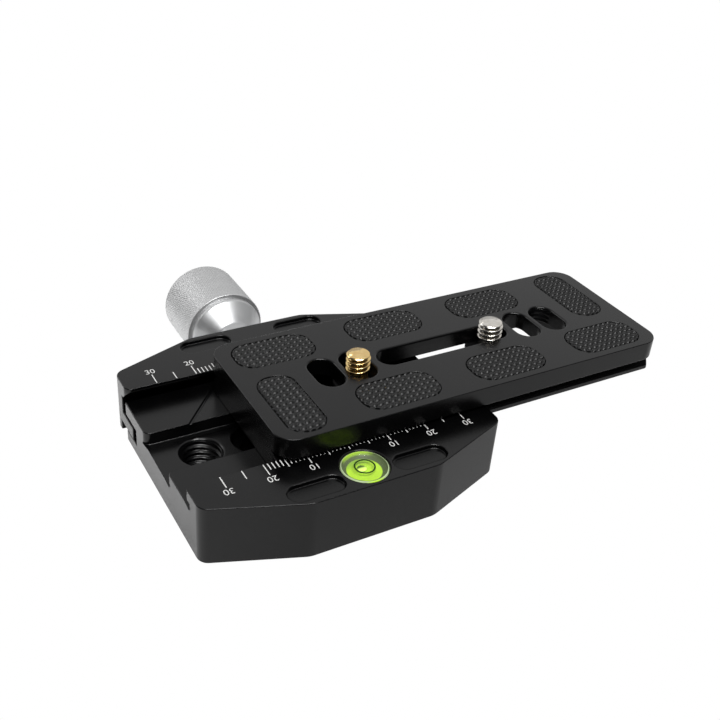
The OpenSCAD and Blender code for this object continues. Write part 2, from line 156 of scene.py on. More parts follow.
class Graph:
    """The node tree of one material or world, with one method that adds any node."""

    def __init__(self, name: str, owners: Any = None) -> None:
        self.owner = (bpy.data.materials if owners is None else owners).new(name)
        self.owner.use_nodes = True
        self.tree = self.owner.node_tree
        self.tree.nodes.clear()

    def add(self, kind: str, settings: dict[str, Any] | None = None,
            inputs: dict[Any, Any] | None = None, output: Any = 0) -> Signal:
        """Adds one node.

        Args:
            kind: The node's type.
            settings: Its properties, set first.
            inputs: Values or signals by socket name or number.
            output: The socket that is handed on, by name or number.

        Returns:
            The chosen output as a signal.
        """
        node = self.tree.nodes.new(kind)
        for key, value in (settings or {}).items():
            setattr(node, key, value)
        for key, value in (inputs or {}).items():
            if isinstance(value, Signal):
                self.tree.links.new(value.socket, node.inputs[key])
            else:
                node.inputs[key].default_value = value
        return Signal(self, node.outputs[output] if output is not None else None)

    def place(self) -> Signal:
        """Position on the object, in metres."""
        return self.add("ShaderNodeTexCoord", {}, {}, "Object")

    def axes(self, centre: tuple[float, float, float] = (0.0, 0.0, 0.0)) -> list[Signal]:
        """X, Y and Z in millimetres from a centre given in millimetres."""
        vector = self.add("ShaderNodeVectorMath", {"operation": "SCALE"},
                          {0: self.place(), "Scale": 1.0 / MM})
        moved = self.add("ShaderNodeVectorMath", {"operation": "SUBTRACT"}, {0: vector, 1: centre})
        split = self.add("ShaderNodeSeparateXYZ", {}, {0: moved})
        node = split.socket.node
        return [Signal(self, node.outputs[i]) for i in range(3)]

    def noise(self, grain_mm: float, detail: float = 3.0, roughness: float = 0.55) -> Signal:
        """Soft noise between 0 and 1 whose grains measure grain_mm."""
        return self.add("ShaderNodeTexNoise", {},
                        {"Vector": self.place(), "Scale": 1.0 / (grain_mm * MM), "Detail": detail,
                         "Roughness": roughness}, "Fac")

    def mix(self, mask: Any, first: Any, second: Any) -> Signal:
        """Colour that goes from first to second as mask rises."""
        inputs: dict[Any, Any] = {0: mask}
        for index, value in ((6, first), (7, second)):
            inputs[index] = value if isinstance(value, Signal) else (*value, 1.0)
        return self.add("ShaderNodeMix", {"data_type": "RGBA"}, inputs, 2)

    def bump(self, height: Signal, depth_mm: float, strength: float = 1.0) -> Signal:
        """Normal of a fine relief of the given depth."""
        return self.add("ShaderNodeBump", {},
                        {"Height": height, "Distance": depth_mm * MM, "Strength": strength},
                        "Normal")

    def surface(self, **inputs: Any) -> bpy.types.Material:
        """Ends the material in a Principled shader.

        Args:
            inputs: Socket names with underscores for spaces, and their values or signals.

        Returns:
            The finished material.
        """
        named = {}
        for key, value in inputs.items():
            socket = key.replace("_", " ")
            named[socket] = (*value, 1.0) if isinstance(value, tuple) and len(value) == 3 else value
        shader = self.add("ShaderNodeBsdfPrincipled", {}, named, "BSDF")
        self.add("ShaderNodeOutputMaterial", {}, {"Surface": shader}, None)
        return self.owner


# Finishes


@dataclass(frozen=True)
class BlackAnodising:
    """Fine bead-blasted black anodising on aluminium."""

    name: str = "black_anodising"
    base: Colour = (0.0005, 0.0005, 0.0006)
    dust: Colour = (0.0012, 0.0012, 0.0013)
    roughness: float = 0.25
    grain_mm: float = 0.09
    specular: float = 0.31

    def make(self) -> bpy.types.Material:
        """Returns the material: cloudy colour, blasted grain and a soft sheen."""
        graph = Graph(self.name)
        cloud = graph.noise(9.0, 3.0)
        grain = graph.noise(self.grain_mm, 2.0, 0.7)
        tone = graph.mix(cloud.ramp(0.3, 0.75), self.base, self.dust)
        rough = self.roughness + 0.08 * (cloud - 0.5) + 0.1 * (grain - 0.5)
        return graph.surface(Base_Color=tone, Roughness=rough, Specular_IOR_Level=self.specular,
                             Normal=graph.bump(grain, 0.01, 0.4))


@dataclass(frozen=True)
class TurnedAluminium:
    """Clear-anodised aluminium with the marks of the lathe around an axis along Y."""

    name: str = "turned_aluminium"
    base: Colour = (0.52, 0.525, 0.53)
    shade: Colour = (0.47, 0.475, 0.48)
    knurled: Colour = (0.57, 0.573, 0.576)
    roughness: float = 0.45
    knurl_roughness: float = 0.5
    drum_y: float = 48.75
    centre: tuple[float, float, float] = (0.0, 0.0, 6.0)
    ring_mm: float = 0.16

    def make(self) -> bpy.types.Material:
        """Returns the material: satin turning rings on the cone, and a matt blasted drum."""
        graph = Graph(self.name)
        x, y, z = graph.axes(self.centre)
        radius = (x * x + z * z).root()
        rings = ((radius + y) * (TURN / self.ring_mm)).sine()
        wander = graph.noise(0.35, 2.0)
        height = 0.5 * rings + wander
        drum = y.ramp(self.drum_y, self.drum_y + 0.1)
        turned_tone = graph.mix(graph.noise(5.0).ramp(0.35, 0.7), self.base, self.shade)
        tone = graph.mix(drum, turned_tone, self.knurled)
        rough = (self.roughness + 0.1 * (wander - 0.5)
                 + (self.knurl_roughness - self.roughness) * drum)
        return graph.surface(Base_Color=tone, Metallic=1.0, Roughness=rough,
                             Normal=graph.bump(height, 0.006, 0.5))


@dataclass(frozen=True)
class PlainMetal:
    """Bright metal with faint handling marks, for screws, pins and springs."""

    name: str
    base: Colour
    shade: Colour
    roughness: float = 0.25

    def make(self) -> bpy.types.Material:
        """Returns the material: a slight change of tone and polish over the surface."""
        graph = Graph(self.name)
        tarnish = graph.noise(1.6, 3.0)
        marks = graph.noise(0.12, 2.0)
        tone = graph.mix(tarnish.ramp(0.3, 0.75), self.base, self.shade)
        rough = self.roughness + 0.12 * (tarnish - 0.5)
        return graph.surface(Base_Color=tone, Metallic=1.0, Roughness=rough,
                             Normal=graph.bump(marks, 0.006, 0.35))


@dataclass(frozen=True)
class MouldedRubber:
    """Matt black rubber or nylon."""

    name: str
    base: Colour = (0.0016, 0.0016, 0.0017)
    worn: Colour = (0.003, 0.003, 0.0032)
    roughness: float = 0.4
    specular: float = 0.32

    def make(self) -> bpy.types.Material:
        """Returns the material: a dull skin with a dusty bloom."""
        graph = Graph(self.name)
        bloom = graph.noise(3.0, 4.0)
        skin = graph.noise(0.1, 2.0)
        tone = graph.mix(bloom.ramp(0.35, 0.8), self.base, self.worn)
        rough = self.roughness + 0.1 * (skin - 0.5)
        return graph.surface(Base_Color=tone, Roughness=rough, Specular_IOR_Level=self.specular,
                             Normal=graph.bump(skin, 0.01, 0.4))


@dataclass(frozen=True)
class MarkingInk:
    """White engraved marking."""

    name: str = "marking_ink"
    base: Colour = (0.56, 0.56, 0.55)
    worn: Colour = (0.4, 0.4, 0.39)

    def make(self) -> bpy.types.Material:
        """Returns the material: white with a slight wear."""
        graph = Graph(self.name)
        wear = graph.noise(0.4, 3.0)
        tone = graph.mix(wear.ramp(0.4, 0.85), self.base, self.worn)
        return graph.surface(Base_Color=tone, Roughness=0.6 + 0.1 * (wear - 0.5))


class LevelPart(Enum):
    """The pieces of the spirit level, each with its own look."""

    CUP = "level_cup"
    LID = "level_lid"
    RING = "level_ring"
    BUBBLE = "level_bubble_skin"


@dataclass(frozen=True)
class LevelLook:
    """Yellow-green cup under a clear lid, with a dark ring and a pale bubble, with painted shade,
    highlights and glow in the cup and the bubble, and a painted reflection on the lid.
    """

    part: LevelPart
    centre: tuple[float, float, float]
    bright: Colour = (0.36, 0.59, 0.03)
    # Painted shade: the far side of the cup's floor.
    deep: Colour = (0.2, 0.36, 0.03)
    # Painted shade: the cup's inner wall, lit only by a painted crescent at the top of its far
    # side.
    wall: Colour = (0.06, 0.08, 0.035)
    rim: Colour = (0.34, 0.42, 0.24)
    floor_z: float = -1.3
    rim_r: float = 5.2

    def make(self) -> bpy.types.Material:
        """Returns the material for the chosen piece."""
        graph = Graph(self.part.value)
        x, y, z = graph.axes(self.centre)
        if self.part is LevelPart.RING:
            tone = graph.mix(graph.noise(0.5), (0.008, 0.03, 0.002), (0.015, 0.05, 0.004))
            return graph.surface(Base_Color=tone, Roughness=0.5, Specular_IOR_Level=0.2)
        if self.part is LevelPart.BUBBLE:
            # Painted light: the bubble is pale on its near side, painted dark as shade on its far
            # side, and glows.
            tone = graph.mix(y.ramp(-0.35, 0.5), (0.6, 0.85, 0.15), (0.04, 0.09, 0.01))
            return graph.surface(Base_Color=tone, Roughness=0.4, Emission_Color=tone,
                                 Emission_Strength=0.35)
        if self.part is LevelPart.LID:
            # The lid's faint even haze is its own tint; the haze thickening towards the far side is
            # a painted reflection.
            return graph.surface(Base_Color=(0.3, 0.36, 0.2), Roughness=0.25, Coat_Weight=0.4,
                                 Alpha=0.05 + 0.06 * y.ramp(1.0, 4.5))
        radius = (x * x + y * y).root()
        # Painted shade: the floor darkens from the cup's green at the near side to a shaded green
        # at the far side.
        floor = graph.mix(y.ramp(0.6, 3.6), self.bright, self.deep)
        # Painted highlight: a lit crescent near the top of the far inner wall; the rest of the wall
        # is painted dark as shade.
        lit_crescent = 0.7 * y.ramp(2.6, 4.6) * z.ramp(-0.75, -0.35)
        wall = graph.mix(lit_crescent, self.wall, self.bright)
        side = graph.mix(z.ramp(self.floor_z, self.floor_z + 0.12), floor, wall)
        rim = graph.mix(y.ramp(-5.4, -4.6), self.bright, self.rim)
        tone = graph.mix(radius.ramp(self.rim_r - 0.1, self.rim_r), side, rim)
        # Painted light: the cup glows a little with its own colour.
        return graph.surface(Base_Color=tone, Roughness=0.55, Specular_IOR_Level=0.25,
                             Emission_Color=tone, Emission_Strength=0.3)


@dataclass(frozen=True)
class Finishes:
    """Every material of the part, made once."""

    black: bpy.types.Material
    silver: bpy.types.Material
    brass: bpy.types.Material
    nickel: bpy.types.Material
    steel: bpy.types.Material
    rubber: bpy.types.Material
    nylon: bpy.types.Material
    ink: bpy.types.Material

    @staticmethod
    def make() -> "Finishes":
        """Returns the set of finishes."""
        return Finishes(
            black=BlackAnodising().make(),
            silver=TurnedAluminium().make(),
            brass=PlainMetal("brass_turned", (0.86, 0.64, 0.3), (0.74, 0.5, 0.2), 0.22).make(),
            nickel=PlainMetal("nickel_plate", (0.74, 0.71, 0.66), (0.6, 0.57, 0.52), 0.24).make(),
            steel=PlainMetal("plain_steel", (0.5, 0.5, 0.5), (0.4, 0.4, 0.4), 0.35).make(),
            rubber=MouldedRubber("studded_rubber").make(),
            nylon=MouldedRubber("turned_nylon", roughness=0.45).make(),
            ink=MarkingInk().make(),
        )


# Meshes


FRAME: dict[str, Any] = {}


def put(name: str, mesh: bpy.types.Mesh, body: str, material: bpy.types.Material,
        smooth: bool = True) -> bpy.types.Object:
    """Links a mesh as a piece that rides on a body.

    Args:
        name: Name of the piece.
        mesh: Its mesh, already in place.
        body: The body that it moves with.
        material: Its only material.
        smooth: Whether its faces are shaded smooth.

    Returns:
        The new object.
    """
    mesh.materials.clear()
    mesh.materials.append(material)
    mesh.polygons.foreach_set("use_smooth", np.full(len(mesh.polygons), smooth, bool))
    piece = bpy.data.objects.new(name, mesh)
    bpy.context.scene.collection.objects.link(piece)
    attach(piece, body)
    LOG.info("%s: %d faces on %s", name, len(mesh.polygons), body)
    return piece


def grid_faces(rows: int, columns: int, wrap_rows: bool, wrap_columns: bool) -> Array:
    """Quads of a grid of points counted row by row.

    Args:
        rows: Number of rows.
        columns: Points in a row.
        wrap_rows: Whether the last row joins the first.
        wrap_columns: Whether each row closes on itself.

    Returns:
        One row of four point numbers a face.
    """
    i = np.arange(rows if wrap_rows else rows - 1)[:, None]
    j = np.arange(columns if wrap_columns else columns - 1)[None, :]
    below, beside = (i + 1) % rows, (j + 1) % columns
    corner = [i * columns + j, i * columns + beside, below * columns + beside, below * columns + j]
    return np.stack(np.broadcast_arrays(*corner), -1).reshape(-1, 4)


def mesh_of(name: str, points: Array, faces: Array, close: bool = False) -> bpy.types.Mesh:
    """Makes a mesh from points in millimetres and faces, with its normals outwards.

    Args:
        name: Name of the mesh.
        points: One row of x, y, z a point.
        faces: One row of point numbers a face.
        close: Whether open edges are closed with flat faces.

    Returns:
        The mesh.
    """
    mesh = bpy.data.meshes.new(name)
    mesh.from_pydata((points.reshape(-1, 3) * MM).tolist(), [], faces.tolist())
    work = bmesh.new()
    work.from_mesh(mesh)
    if close:
        bmesh.ops.remove_doubles(work, verts=work.verts, dist=1e-7)
        bmesh.ops.holes_fill(work, edges=[e for e in work.edges if e.is_boundary], sides=0)
    bmesh.ops.recalc_face_normals(work, faces=work.faces)
    work.to_mesh(mesh)
    work.free()
    return mesh


def turned(radii: Array, along: Array, centre: tuple[float, float, float], axis: str) -> Array:
    """Points of a turned surface: each row is a circle whose radius may vary round it.

    A point is centre + r cos(a) and r sin(a) across the axis, and the row's distance along it.

    Args:
        radii: Radius for each row and angle.
        along: Distance along the axis for each row and angle.
        centre: A point on the axis.
        axis: "y" or "z", the way that distances run.

    Returns:
        Rows of circles of points.
    """
    angle = np.arange(radii.shape[1]) * TURN / radii.shape[1]
    a, b = radii * np.cos(angle), radii * np.sin(angle)
    if axis == "z":
        return np.stack([centre[0] + a, centre[1] + b, centre[2] + along], -1)
    return np.stack([centre[0] + a, centre[1] + along, centre[2] + b], -1)


def circles(profile: Any, steps: int) -> tuple[Array, Array]:
    """Radii and heights of a profile's points, repeated for every angle round the axis."""
    rows = np.array(profile)
    return np.repeat(rows[:, :1], steps, 1), np.repeat(rows[:, 1:], steps, 1)


def triangle_wave(phase: Array) -> Array:
    """Goes 0, 1, 0 over each whole step of the phase."""
    return 1.0 - np.abs(2.0 * (phase - np.floor(phase)) - 1.0)


def between_ends(z: Array, low: float, high: float, length: float) -> Array:
    """Rises from 0 at either end of a thread to 1 within a length, so that the thread runs out."""
    return np.clip(np.minimum(z - low, high - z) / length, 0.0, 1.0)


def room_beside(edge: bmesh.types.BMEdge) -> float:
    """Finds how much room an edge has to be rounded in.

    Args:
        edge: The edge.

    Returns:
        Length in metres of the shortest edge that leaves its ends sideways.
    """
    room = 1.0
    for end in edge.verts:
        along = (edge.other_vert(end).co - end.co).normalized()
        for other in end.link_edges:
            if other is not edge:
                way = other.other_vert(end).co - end.co
                if abs(way.normalized().dot(along)) < 0.9:
                    room = min(room, way.length)
    return room


def at_lip_end(edge: bmesh.types.BMEdge) -> bool:
    """Tells whether an edge lies where the fixed jaw's lip runs out, too tight to be rounded.

    Args:
        edge: The edge.

    Returns:
        Whether its middle lies in the ranges of LIP_END.
    """
    x, y, z = (edge.verts[0].co + edge.verts[1].co) / 2 / MM
    return all(low < value < high for value, (low, high) in zip((abs(x), y, z), LIP_END))


def eased_copy(node: str, name: str, body: str, material: bpy.types.Material,
               width_mm: float) -> bpy.types.Object:
    """Copies a node, merges its triangles and rounds its sharp edges finely.

    Args:
        node: The node that the copy stands for.
        name: Name of the copy.
        body: The body that it moves with.
        material: Its finish.
        width_mm: Width of the rounded edges.

    Returns:
        The piece, which replaces the node.
    """
    mesh = FRAME["nodes"][node].data.copy()
    mesh.name = name
    work = bmesh.new()
    work.from_mesh(mesh)
    bmesh.ops.remove_doubles(work, verts=work.verts, dist=MERGE_M)
    bmesh.ops.dissolve_limit(work, angle_limit=math.radians(FLAT_DEG), verts=work.verts,
                             edges=work.edges, delimit={"NORMAL"})
    weights = work.edges.layers.float.new("bevel_weight_edge")
    for edge in work.edges:
        if len(edge.link_faces) == 2 and edge.calc_face_angle(0.0) > math.radians(SHARP_DEG):
            edge.smooth = body != "clamp" or not at_lip_end(edge)
            if edge.smooth:
                edge[weights] = min(1.0, room_beside(edge) / (ROOM_WIDTHS * width_mm * MM))
    work.to_mesh(mesh)
    work.free()
    piece = put(name, mesh, body, material)
    bevel = piece.modifiers.new("eased edges", "BEVEL")
    bevel.width = width_mm * MM
    bevel.segments = 2
    bevel.limit_method = "WEIGHT"
    bevel.use_clamp_overlap = False
    weighted = piece.modifiers.new("flat faces", "WEIGHTED_NORMAL")
    weighted.mode = "FACE_AREA"
    weighted.weight = 90
    weighted.keep_sharp = True
    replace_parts(piece, node)
    return piece


# The clamp


@dataclass
class Scale:
    """Engraved millimetre scale on one jaw: ticks that run away from the lip, and numerals."""

    name: str
    body: str
    tick_y: float
    away: float
    top_z: float
    long_tick: float = 3.7
    middle_tick: float = 2.8
    short_tick: float = 2.1
    line: float = 0.24
    digit_h: float = 1.78
    digit_gap: float = 0.55
    digit_thin: float = 0.01
    digit_share: float = 0.7
    sheet: float = 0.012

    def tick_length(self, mark: int) -> float:
        """Length of the tick at a whole number of millimetres."""
        if mark % 10 == 0 and mark != 0:
            return self.long_tick
        return self.middle_tick if mark % 5 == 0 else self.short_tick

    def build(self, ink: bpy.types.Material) -> None:
        """Lays the ticks as thin bars and the numerals as thin letters on the jaw's top."""
        marks = [*range(-20, 21), -30, -25, 25, 30]
        lengths = np.array([self.tick_length(m) for m in marks])
        centres = np.array(marks, float)
        corner = np.array([[x, y, z] for z in (0, 1) for y in (0, 1) for x in (-0.5, 0.5)])
        points = np.empty((len(marks), 8, 3))
        points[:, :, 0] = centres[:, None] + corner[None, :, 0] * self.line
        points[:, :, 1] = self.tick_y + self.away * lengths[:, None] * corner[None, :, 1]
        points[:, :, 2] = self.top_z + (corner[None, :, 2] * 2.0 - 1.0) * self.sheet
        cube = np.array([[0, 1, 3, 2], [4, 6, 7, 5], [0, 4, 5, 1], [2, 3, 7, 6], [0, 2, 6, 4],
                         [1, 5, 7, 3]])
        faces = (cube[None] + 8 * np.arange(len(marks))[:, None, None]).reshape(-1, 4)
        put(f"{self.name}_ticks", mesh_of(self.name, points, faces), self.body, ink, smooth=False)
        meshes = [self.numeral(abs(m), float(m)) for m in (-30, -20, -10, 10, 20, 30)]
        work = bmesh.new()
        for mesh in meshes:
            work.from_mesh(mesh)
            bpy.data.meshes.remove(mesh)
        joined = bpy.data.meshes.new(f"{self.name}_numerals")
        work.to_mesh(joined)
        work.free()
        put(f"{self.name}_numerals", joined, self.body, ink, smooth=False)

    def numeral(self, value: int, x: float) -> bpy.types.Mesh:
        """A number beyond its tick, with its foot towards the lip.

        Args:
            value: The number to write.
            x: Its place along the scale in millimetres.

        Returns:
            The number as a thin mesh in place.
        """
        curve = bpy.data.curves.new("numeral", "FONT")
        curve.body = str(value)
        curve.size = self.digit_h * MM / self.digit_share
        curve.align_x = "CENTER"
        curve.extrude = self.sheet * MM
        curve.offset = -self.digit_thin * MM
        curve.resolution_u = 6
        writer = bpy.data.objects.new("numeral", curve)
        bpy.context.scene.collection.objects.link(writer)
        bpy.context.view_layer.update()
        mesh = bpy.data.meshes.new_from_object(writer.evaluated_get(
            bpy.context.evaluated_depsgraph_get()))
        bpy.data.objects.remove(writer)
        foot = self.tick_y + self.away * (self.long_tick + self.digit_gap)
        turn = Matrix.Rotation(math.pi if self.away < 0 else 0.0, 4, "Z")
        mesh.transform(Matrix.Translation((x * MM, foot * MM, self.top_z * MM)) @ turn)
        return mesh


@dataclass
class TappedHole:
    """The thread in one tapped hole of the floor, as a helical ridge inside its wall."""

    name: str
    x: float
    wall_r: float = 4.8
    crest_r: float = 4.0
    pitch: float = 1.5875
    low_z: float = 0.15
    high_z: float = 7.2
    run_out: float = 0.5
    sink: float = 0.005
    flank: float = 0.03
    steepness: float = 1.9
    valley: float = 0.85
    steps: int = 96
    rows_a_turn: int = 12

    def build(self, material: bpy.types.Material) -> None:
        """Builds the ridge.

        The inner radius is wall_r less the ridge's height times a triangle wave of z / pitch minus
        the angle in turns; the outer side runs straight up the wall, so the ring is closed.
        """
        rows = int((self.high_z - self.low_z) / self.pitch * self.rows_a_turn)
        z = np.linspace(self.low_z, self.high_z, rows)[:, None]
        turns = (np.arange(self.steps) / self.steps)[None, :]
        fade = between_ends(z, self.low_z, self.high_z, self.run_out)
        wave = triangle_wave(z / self.pitch - turns)
        ridge = np.clip(wave * self.steepness - self.valley, 0.0, 1.0)
        root = self.wall_r - self.flank
        inner = root - fade * (root - self.crest_r) * ridge
        outer = np.full((2, self.steps), self.wall_r - self.sink)
        ends = np.array([[self.high_z], [self.low_z]]) * np.ones((2, self.steps))
        heights = np.concatenate([np.broadcast_to(z, inner.shape), ends])
        points = turned(np.concatenate([inner, outer]), heights, (self.x, 0.0, 0.0), "z")
        faces = grid_faces(rows + 2, self.steps, True, True)
        put(self.name, mesh_of(self.name, points, faces), "clamp", material)


@dataclass
class SpiritLevel:
    """The bull's-eye level sunk in the fixed jaw."""

    centre: tuple[float, float, float]
    radius: float
    cup_wall: float = 0.5
    floor_z: float = -1.3
    floor_r: float = 3.85
    ring_r: float = 2.25
    ring_line: float = 0.36
    bubble_r: float = 1.05
    bubble_off: tuple[float, float] = (-0.65, 0.1)
    dome: float = 0.06
    steps: int = 96

    def disc(self, name: str, profile: list[tuple[float, float]], look: LevelLook,
             off: tuple[float, float] = (0.0, 0.0)) -> bpy.types.Object:
        """A turned piece of the level from its profile of radius and height.

        Args:
            name: Name of the piece.
            profile: Radius and height below the level's top, from the foot to the crown.
            look: Its look.
            off: How far its axis stands from the level's.

        Returns:
            The piece.
        """
        centre = (self.centre[0] + off[0], self.centre[1] + off[1], self.centre[2])
        points = turned(*circles(profile, self.steps), centre, "z")
        faces = grid_faces(len(profile), self.steps, False, True)
        return put(name, mesh_of(name, points, faces, close=True), "clamp", look.make())

    def build(self) -> None:
        """Builds the open cup, its clear lid, the printed ring and the bubble."""
        inner = self.radius - self.cup_wall
        cup = self.disc("level_cup", [
            (0.02, -5.35), (self.radius - 0.05, -5.35), (self.radius - 0.05, -0.2),
            (self.radius - 0.2, -0.03), (inner + 0.06, -0.02), (inner, -0.12), (inner - 0.1, -0.35),
            (self.floor_r + 0.25, self.floor_z + 0.12), (self.floor_r, self.floor_z),
            (0.02, self.floor_z)
        ], LevelLook(LevelPart.CUP, self.centre, floor_z=self.floor_z))
        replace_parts(cup, "level_vial")
        spread = np.linspace(1.0, 0.02, 14)
        crown = [((inner - 0.04) * s, -0.14 + self.dome * (1.0 - s * s)) for s in spread]
        lid = self.disc("level_lid", [(0.02, -0.3), (inner - 0.04, -0.3), *crown],
                        LevelLook(LevelPart.LID, self.centre))
        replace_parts(lid, "level_liquid")
        half = self.ring_line / 2
        self.disc("level_ring", [
            (self.ring_r - half, -0.12), (self.ring_r + half, -0.12), (self.ring_r + half, -0.05),
            (self.ring_r - half, -0.05), (self.ring_r - half, -0.12)
        ], LevelLook(LevelPart.RING, self.centre))
        cap = [(self.bubble_r * math.cos(t), -0.5 + 0.12 * math.sin(t))
               for t in np.linspace(0.0, 1.55, 8)]
        eye = (self.centre[0] + self.bubble_off[0], self.centre[1] + self.bubble_off[1],
               self.centre[2])
        bubble = self.disc("level_bubble_cap", [(0.02, -0.6), (self.bubble_r, -0.6), *cap],
                           LevelLook(LevelPart.BUBBLE, eye), self.bubble_off)
        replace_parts(bubble, "level_bubble")


@dataclass
class Clamp:
    """The clamp's body and jaw, with their scales, threads and level."""

    finishes: Finishes
    edge_mm: float = 0.25
    near_tick_y: float = -18.2
    far_tick_y: float = 20.3
    tapped_x: float = 27.0

    def build(self) -> None:
        """Builds the clamp."""
        black = self.finishes.black
        eased_copy("clamp_body", "body_casting", "clamp", black, self.edge_mm)
        eased_copy("movable_jaw", "jaw_casting", "jaw", black, self.edge_mm)
        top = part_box("clamp_body")[1].z / MM
        Scale("near_scale", "clamp", self.near_tick_y, -1.0, top).build(self.finishes.ink)
        Scale("far_scale", "jaw", self.far_tick_y, 1.0, top).build(self.finishes.ink)
        for side, x in (("left", -self.tapped_x), ("right", self.tapped_x)):
            TappedHole(f"tripod_thread_{side}", x).build(black)
        low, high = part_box("level_vial")
        centre = ((low.x + high.x) / 2 / MM, (low.y + high.y) / 2 / MM, high.z / MM)
        SpiritLevel(centre, (high.x - low.x) / 2 / MM).build()
        for node in ("guide_pin_left", "guide_pin_right", "clamp_screw"):
            dress(node, self.finishes.steel)


def dress(node: str, material: bpy.types.Material) -> None:
    """Gives a node that is shown as it is its finish."""
    mesh = FRAME["nodes"][node].data
    mesh.materials.clear()
    mesh.materials.append(material)


@dataclass
class ReturnSpring:
    """A compression spring along Y, wound from round wire."""

    name: str
    node: str
    turns: float = 6.0
    wire: float = 0.4
    squeeze: float = 2.3
    steps_a_turn: int = 24
    sides: int = 10

    def build(self, material: bpy.types.Material) -> None:
        """Winds the wire.

        The wire's centre is a helix with closed ends; each ring round it lies across its path.
        """
        low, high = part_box(self.node)
        radius = (high.x - low.x) / 2 / MM - self.wire / 2
        centre = Vector(((low.x + high.x) / 2, 0.0, (low.z + high.z) / 2)) / MM
        count = int(self.turns * self.steps_a_turn)
        share = np.linspace(0.0, 1.0, count)
        angle = share * self.turns * TURN
        y = low.y / MM + self.wire / 2 + (high.y - low.y - self.wire * MM) / MM * share
        out = np.stack([np.cos(angle), np.zeros(count), np.sin(angle)], -1)
        along = np.array([0.0, 1.0, 0.0])
        ring = np.arange(self.sides) * TURN / self.sides
        middle = np.stack([centre.x + radius * out[:, 0], y, centre.z + radius * out[:, 2]], -1)
        points = (middle[:, None] + self.wire / 2 * (
            np.cos(ring)[None, :, None] * out[:, None] + np.sin(ring)[None, :, None] * along))
        mesh = mesh_of(self.name, points, grid_faces(count, self.sides, False, True), close=True)
        piece = put(self.name, mesh, "clamp", material)
        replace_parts(piece, self.node)
        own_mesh(piece)


@dataclass
class Knob:
    """The clamp's knob: neck, turned cone, smooth rim and a diamond-knurled drum."""

    finishes: Finishes
    bore_r: float = 3.02
    neck_r: float = 5.4
    neck_l: float = 8.0
    cone_l: float = 4.5
    rim_r: float = 9.9
    rim_w: float = 1.5
    edge: float = 0.3
    knurls: int = 76
    knurl_depth: float = 0.2
    knurl_pitch: float = 1.0
    steepness: float = 1.35
    least_height: float = 0.35
    chamfer: float = 0.6
    per_knurl: int = 5
    row: float = 0.17

    def build(self) -> None:
        """Builds the knob as one turned surface.

        On the knurled drum the radius is the crest less the depth times the smaller distance to
        two families of grooves, which wind opposite ways round it.
        """
        low, high = (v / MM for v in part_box("knob"))
        radius = (high.x - low.x) / 2
        centre = ((low.x + high.x) / 2, 0.0, (low.z + high.z) / 2)
        steps = self.knurls * self.per_knurl
        cone_end = self.neck_l + self.cone_l
        rim_end = cone_end + self.rim_w
        length = high.y - low.y
        front = [
            (self.bore_r, 0.0), (self.neck_r - 0.3, 0.0), (self.neck_r - 0.09, 0.09),
            (self.neck_r, 0.3), (self.neck_r, self.neck_l - 0.5),
            (self.neck_r + 0.08, self.neck_l - 0.15), (self.neck_r + 0.25, self.neck_l + 0.15),
            (self.rim_r - 0.32, cone_end - 0.32), (self.rim_r - 0.1, cone_end - 0.04),
            (self.rim_r, cone_end + 0.2), (self.rim_r, rim_end - 0.22),
            (self.rim_r - 0.22, rim_end - 0.01), (self.rim_r - 0.2, rim_end),
            (radius - self.knurl_depth - 0.12, rim_end)
        ]
        cap = [
            (radius - 0.3, length - self.chamfer + 0.1), (radius - self.chamfer, length),
            (radius - self.chamfer - 0.2, length), (radius - 2.6, length - 0.01),
            (radius - 2.9, length - 0.3), (0.05, length - 0.3)
        ]
        rows = int((length - self.chamfer - rim_end) / self.row)
        along = np.linspace(rim_end + 0.04, length - self.chamfer, rows)[:, None]
        turns = (np.arange(steps) / steps * self.knurls)[None, :]
        one = triangle_wave(turns + along / self.knurl_pitch)
        two = triangle_wave(turns - along / self.knurl_pitch)
        near_edge = np.clip((along - rim_end) / self.edge, self.least_height, 1.0)
        far_edge = np.clip((length - self.chamfer - along) / self.edge, 0.0, 1.0)
        height = np.minimum(np.minimum(one, two) * self.steepness, 1.0) * near_edge * far_edge
        knurl = radius - 0.01 - self.knurl_depth * (1.0 - height)
        (front_r, front_y), (cap_r, cap_y) = circles(front, steps), circles(cap, steps)
        all_r = np.concatenate([front_r, knurl, cap_r])
        all_y = np.concatenate([front_y, np.repeat(along, steps, 1), cap_y])
        points = turned(all_r, low.y + all_y, centre, "y")
        faces = grid_faces(len(all_r), steps, False, True)
        mesh = mesh_of("knob_turned", points, faces, close=True)
        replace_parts(put("knob_turned", mesh, "knob_and_screw", self.finishes.silver), "knob")


# The plate


